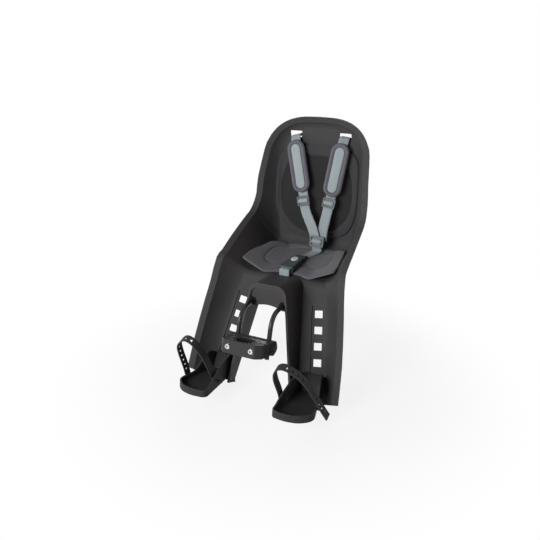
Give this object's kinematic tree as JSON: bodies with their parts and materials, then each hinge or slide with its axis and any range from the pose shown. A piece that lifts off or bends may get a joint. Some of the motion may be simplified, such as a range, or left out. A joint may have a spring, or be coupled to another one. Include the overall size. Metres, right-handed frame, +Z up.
{
  "type": "front child bicycle seat",
  "caption": "Moulded front child seat for a bicycle with splayed leg guards, strapped sliding footrests, padded buckle harness and a bent steel fork in a head tube clamp.",
  "frame": {"origin": "middle of the clamp's bore, on the head tube's axis", "axes": "+Z up on a bicycle that stands upright, the child faces -Y (the way the bicycle goes), +X to the child's left; the bore leans back 16 degrees in the YZ plane"},
  "size_m": [0.3686, 0.4627, 0.5782],
  "materials": {
    "shell": "black moulded plastic with a fine grain",
    "pad": "dark grey foam",
    "steel_bar": "black powder coat",
    "clamp": "black filled plastic",
    "liner": "black rubber",
    "zinc": "zinc plated steel",
    "button": "black plastic",
    "footrest": "black moulded plastic",
    "strap": "black rubber",
    "webbing": "grey woven webbing",
    "shoulder_pad": "dark grey padded fabric",
    "patch": "light grey fabric",
    "hardware": "grey plastic",
    "buckle_button": "light grey plastic"
  },
  "bodies": {
    "seat": {"seat_shell": "shell", "seat_pad": "pad", "back_pad": "pad", "support_fork": "steel_bar", "fork_saddle": "clamp", "saddle_screws": "zinc", "left_fork_sleeve": "button", "right_fork_sleeve": "button", "clamp_rear_block": "clamp", "clamp_front_plate": "clamp", "rear_clamp_liner": "liner", "front_clamp_liner": "liner", "clamp_bolts": "zinc", "clamp_washers": "zinc", "clamp_nuts": "zinc", "left_release_spring": "zinc", "right_release_spring": "zinc", "left_shoulder_strap": "webbing", "right_shoulder_strap": "webbing", "left_strap_anchor": "hardware", "right_strap_anchor": "hardware", "left_shoulder_pad": "shoulder_pad", "right_shoulder_pad": "shoulder_pad", "left_pad_patch": "patch", "right_pad_patch": "patch", "left_strap_adjuster": "hardware", "right_strap_adjuster": "hardware", "left_lower_strap": "webbing", "right_lower_strap": "webbing", "centre_slider": "hardware", "buckle_body": "hardware", "buckle_tongue": "hardware", "button_spring": "zinc", "tongue_strap": "webbing", "crotch_strap": "webbing", "crotch_anchor": "hardware"},
    "left_footrest_unit": {"left_footrest": "footrest", "left_foot_strap": "strap", "left_strap_studs": "button"},
    "right_footrest_unit": {"right_footrest": "footrest", "right_foot_strap": "strap", "right_strap_studs": "button"},
    "left_release_button": {"left_release_button": "button"},
    "right_release_button": {"right_release_button": "button"},
    "buckle_button": {"buckle_button": "buckle_button"}
  },
  "joints": [
    {"name": "left_footrest_slide", "type": "slide", "parent": "seat", "child": "left_footrest_unit", "axis": [-0.1547, 0.4094, 0.8992], "range_m": [0, 0.108]},
    {"name": "right_footrest_slide", "type": "slide", "parent": "seat", "child": "right_footrest_unit", "axis": [0.1547, 0.4094, 0.8992], "range_m": [0, 0.108]},
    {"name": "left_release_press", "type": "slide", "parent": "seat", "child": "left_release_button", "axis": [-1, 0, 0], "range_m": [0, 0.003], "stiffness_N_per_m": 800, "springref_m": -0.003, "deforming": ["left_release_spring"]},
    {"name": "right_release_press", "type": "slide", "parent": "seat", "child": "right_release_button", "axis": [1, 0, 0], "range_m": [0, 0.003], "stiffness_N_per_m": 800, "springref_m": -0.003, "deforming": ["right_release_spring"]},
    {"name": "buckle_press", "type": "slide", "parent": "seat", "child": "buckle_button", "axis": [0, 0.0791, -0.9969], "range_m": [0, 0.0025], "stiffness_N_per_m": 900, "springref_m": -0.003, "deforming": ["button_spring"]}
  ]
}
